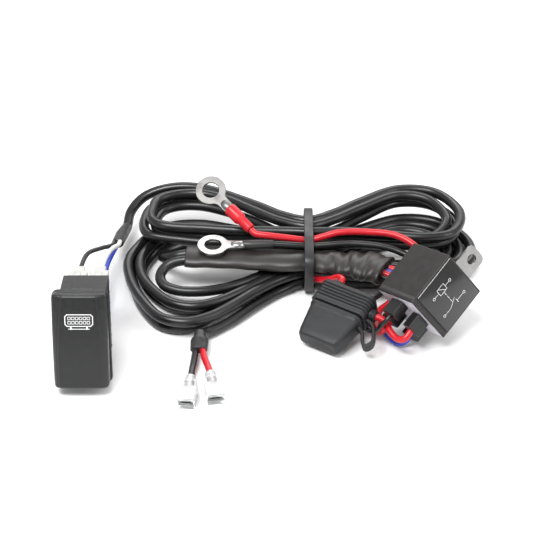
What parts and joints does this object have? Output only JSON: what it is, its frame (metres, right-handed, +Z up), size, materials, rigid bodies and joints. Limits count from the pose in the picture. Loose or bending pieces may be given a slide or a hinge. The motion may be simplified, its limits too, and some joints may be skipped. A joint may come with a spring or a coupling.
{
  "type": "auxiliary lamp relay wiring harness",
  "caption": "Wiring harness for auxiliary lamps: a tied hank of jacketed cable with a rocker switch, relay, fuse holder, ring terminals and spade leads.",
  "frame": {"origin": "middle of the cable tie's underside, on the surface that the harness lies on", "axes": "+X along the hank towards the relay, -Y towards the front, +Z up"},
  "size_m": [0.2036, 0.163, 0.0482],
  "materials": {
    "jacket_black": "glossy extruded PVC jacket",
    "tie_black": "satin nylon tie",
    "sleeve_grey": "satin dark heat-shrink tube",
    "switch_black": "satin moulded black with a white print",
    "nylon_white": "natural moulded nylon",
    "relay_base": "pale moulded base plate",
    "tinned_steel": "tinned, slightly dull",
    "brass": "pressed brass",
    "copper": "copper and enamelled winding",
    "relay_black": "black case, glossy printed face",
    "wire_black": "glossy PVC",
    "wire_red": "glossy red PVC",
    "wire_blue": "glossy blue PVC",
    "wire_white": "glossy white PVC",
    "holder_rubber": "ribbed matt rubber",
    "fuse_green": "translucent green",
    "sleeve_clear": "clear vinyl sleeve"
  },
  "bodies": {
    "harness": {"cable_tie": "tie_black", "cap_strap": "holder_rubber", "feed_wire": "wire_red", "fuse_base": "holder_rubber", "fuse_body": "fuse_green", "fuse_clip_1": "brass", "fuse_clip_2": "brass", "fuse_element": "tinned_steel", "fuse_lead": "wire_red", "ground_wire": "wire_black", "hank_lower": "jacket_black", "hank_upper": "jacket_black", "junction_sleeve": "sleeve_grey", "lamp_boot": "jacket_black", "lead_black": "wire_black", "lead_red": "wire_red", "relay_base": "relay_base", "relay_blade_30": "brass", "relay_blade_85": "brass", "relay_blade_86": "brass", "relay_blade_87": "brass", "relay_boot_30": "wire_black", "relay_boot_85": "wire_black", "relay_boot_86": "wire_black", "relay_boot_87": "wire_black", "relay_bracket": "tinned_steel", "relay_coil": "copper", "relay_core": "tinned_steel", "relay_cover": "relay_black", "relay_wire_30": "wire_red", "relay_wire_85": "wire_black", "relay_wire_86": "wire_blue", "relay_wire_87": "wire_red", "relay_yoke": "tinned_steel", "ring_barrel_black": "sleeve_grey", "ring_barrel_red": "wire_red", "ring_terminal_black": "tinned_steel", "ring_terminal_red": "tinned_steel", "rocker_pin": "tinned_steel", "spade_sleeve_black": "sleeve_clear", "spade_sleeve_red": "sleeve_clear", "spade_terminal_black": "brass", "spade_terminal_red": "brass", "switch_bezel": "switch_black", "switch_body": "switch_black", "switch_boot": "jacket_black", "switch_plug_1": "nylon_white", "switch_plug_2": "nylon_white", "switch_plug_3": "nylon_white", "switch_terminal_1": "brass", "switch_terminal_2": "brass", "switch_terminal_3": "brass", "switch_wire_black": "wire_black", "switch_wire_blue": "wire_blue", "switch_wire_white": "wire_white"},
    "rocker": {"rocker": "switch_black", "rocker_plunger": "nylon_white"},
    "contact_lever": {"contact_lever": "copper"},
    "relay_armature": {"relay_armature": "tinned_steel"},
    "fuse_cap": {"fuse_cap": "holder_rubber"}
  },
  "joints": [
    {"name": "rocker_tilt", "type": "hinge", "parent": "harness", "child": "rocker", "pos_m": [-0.1046, -0.08829, 0.02284], "axis": [1, 0, 0], "range_deg": [0, 14]},
    {"name": "lever_tilt", "type": "hinge", "parent": "harness", "child": "contact_lever", "pos_m": [-0.1046, -0.07215, 0.02057], "axis": [1, 0, 0], "range_deg": [-14, 0]},
    {"name": "armature_pull", "type": "hinge", "parent": "harness", "child": "relay_armature", "pos_m": [0.06419, -0.05094, 0.02082], "axis": [-0.5232, 0.8072, -0.2733], "range_deg": [-3.5, 0], "stiffness_Nm_per_rad": 0.01, "springref_deg": 5.73},
    {"name": "cap_pull", "type": "slide", "parent": "harness", "child": "fuse_cap", "axis": [-0.5189, -0.7883, -0.3306], "range_m": [0, 0.01], "deforming": ["cap_strap"]}
  ],
  "couplings": [
    {"joint": "lever_tilt", "follows": "rocker_tilt", "ratio": -1}
  ]
}
